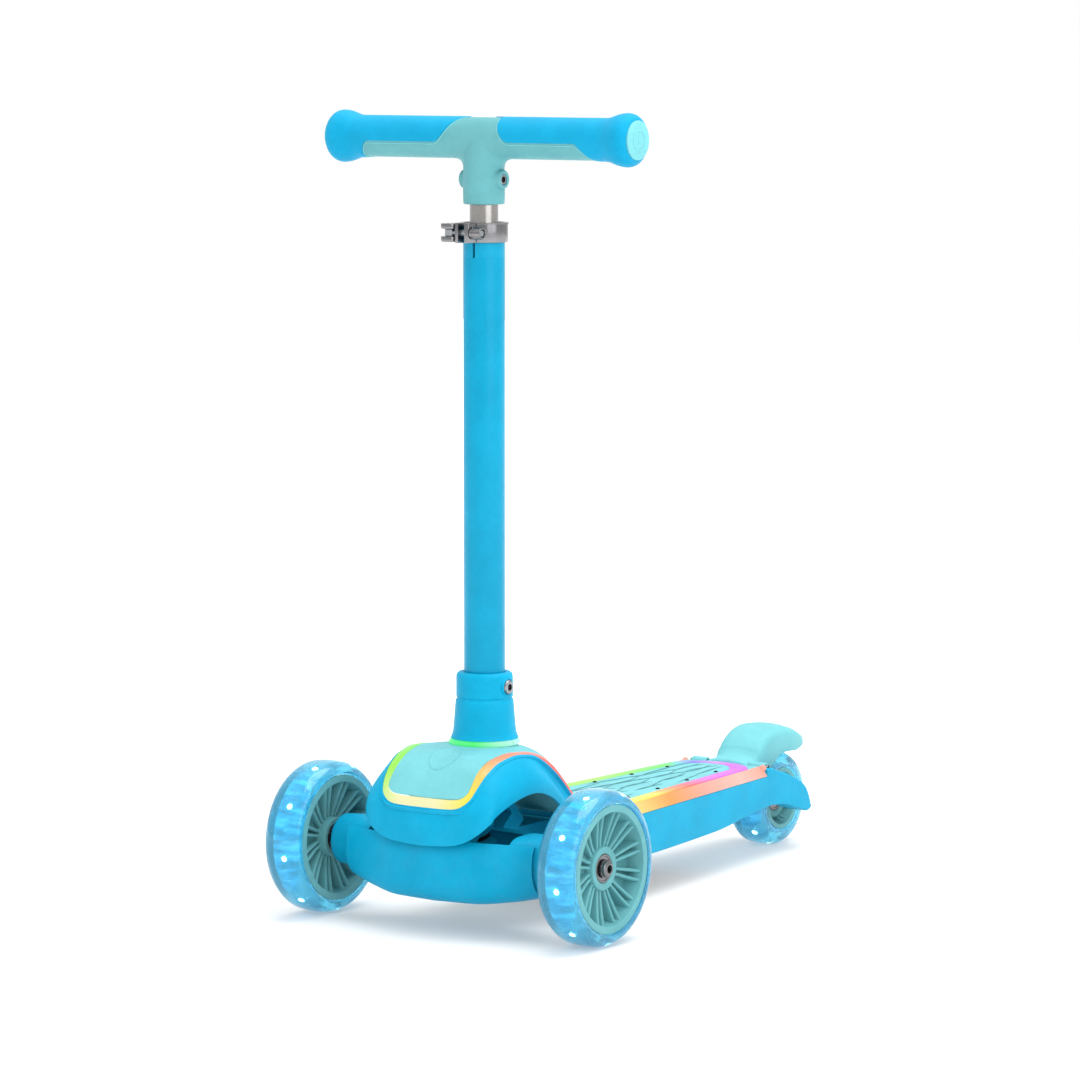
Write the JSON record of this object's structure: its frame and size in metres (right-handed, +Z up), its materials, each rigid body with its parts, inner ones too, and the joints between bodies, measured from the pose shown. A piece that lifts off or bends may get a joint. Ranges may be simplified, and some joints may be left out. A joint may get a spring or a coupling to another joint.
{
  "type": "kick scooter",
  "caption": "Child's lean-to-steer kick scooter with a lit deck, lit front wheels, a height-adjustable T handlebar with a quick-release clamp, and a foot brake over the rear wheel.",
  "frame": {"origin": "on the ground below the middle of the bounding box, midway between the front tyres' front and the brake's tail", "axes": "+Z up, +X towards the rider's left, -Y the way the scooter rolls forwards"},
  "size_m": [0.2886, 0.568, 0.6278],
  "materials": {
    "blue_shell": "satin moulded",
    "mint_shell": "satin moulded",
    "grip_rubber": "matt soft rubber",
    "clear_tyre": "clear tinted cast tyre",
    "light_ring": "milky light diffuser",
    "base_light": "milky light diffuser",
    "light_core": "milky ribbed",
    "chrome": "polished",
    "steel": "zinc plated",
    "dark_plastic": "grained",
    "elastomer": "matt",
    "white_plastic": "smooth",
    "board": "coated laminate",
    "bush_plastic": "smooth"
  },
  "bodies": {
    "deck": {"hood": "blue_shell", "deck_shell": "blue_shell", "stem_socket": "blue_shell", "outer_tube": "blue_shell", "hood_panel": "mint_shell", "hood_badge": "mint_shell", "footplate": "mint_shell", "hood_light_ring": "light_ring", "deck_light_ring": "light_ring", "side_light_strip_left": "light_ring", "side_light_strip_right": "light_ring", "stem_base_ring": "base_light", "led_strip": "light_core", "clamp_band": "chrome", "clamp_nut": "chrome", "socket_screw": "chrome", "brake_pin": "chrome", "steering_bracket": "steel", "kingpin": "steel", "rear_axle": "steel", "rear_spacer_left": "steel", "rear_spacer_right": "steel", "clamp_bolt": "steel", "brake_spring": "steel", "deck_cover": "dark_plastic", "tube_bush": "dark_plastic", "elastomer_upper": "elastomer", "elastomer_lower": "elastomer", "battery_pack": "white_plastic", "light_board": "board"},
    "truck": {"truck": "blue_shell", "kingpin_bush": "bush_plastic", "axle_bolt_left": "chrome", "axle_bolt_right": "chrome"},
    "front_left_wheel": {"front_left_hub": "mint_shell", "front_left_tyre": "clear_tyre", "front_left_light_core": "light_core", "front_left_bearing_outer": "chrome", "front_left_bearing_inner": "chrome"},
    "front_right_wheel": {"front_right_hub": "mint_shell", "front_right_tyre": "clear_tyre", "front_right_light_core": "light_core", "front_right_bearing_outer": "chrome", "front_right_bearing_inner": "chrome"},
    "rear_wheel": {"rear_hub": "mint_shell", "rear_tyre": "clear_tyre", "rear_light_core": "light_core", "rear_bearing_outer": "chrome", "rear_bearing_inner": "chrome"},
    "handlebar": {"inner_tube": "chrome", "handlebar_body": "mint_shell", "grip_left": "grip_rubber", "grip_right": "grip_rubber", "end_cap_left": "mint_shell", "end_cap_right": "mint_shell", "neck_bolt": "steel"},
    "lever": {"clamp_lever": "chrome"},
    "brake": {"brake_fender": "mint_shell", "brake_pad": "steel"},
    "light_switch": {"light_button": "white_plastic"}
  },
  "joints": [
    {"name": "lean_steer", "type": "hinge", "parent": "deck", "child": "truck", "pos_m": [0, -0.202, 0.084], "axis": [0, -0.6428, 0.766], "range_deg": [-8, 8], "stiffness_Nm_per_rad": 30},
    {"name": "front_left_spin", "type": "hinge", "parent": "truck", "child": "front_left_wheel", "pos_m": [0.1273, -0.224, 0.06], "axis": [1, 0, 0], "continuous": true},
    {"name": "front_right_spin", "type": "hinge", "parent": "truck", "child": "front_right_wheel", "pos_m": [-0.1273, -0.224, 0.06], "axis": [1, 0, 0], "continuous": true},
    {"name": "rear_spin", "type": "hinge", "parent": "deck", "child": "rear_wheel", "pos_m": [0, 0.236, 0.04], "axis": [1, 0, 0], "continuous": true},
    {"name": "bar_height", "type": "slide", "parent": "deck", "child": "handlebar", "axis": [0, 0, 1], "range_m": [-0.012, 0.18]},
    {"name": "clamp_open", "type": "hinge", "parent": "deck", "child": "lever", "pos_m": [-0.01661, -0.20723, 0.5356], "axis": [0, 0, 1], "range_deg": [0, 150]},
    {"name": "brake_press", "type": "hinge", "parent": "deck", "child": "brake", "pos_m": [0, 0.176, 0.075], "axis": [-1, 0, 0], "range_deg": [0, 1.8], "stiffness_Nm_per_rad": 6, "springref_deg": -3.44},
    {"name": "light_press", "type": "slide", "parent": "deck", "child": "light_switch", "axis": [0, 0, 1], "range_m": [0, 0.0012], "stiffness_N_per_m": 300, "springref_m": -0.002}
  ]
}
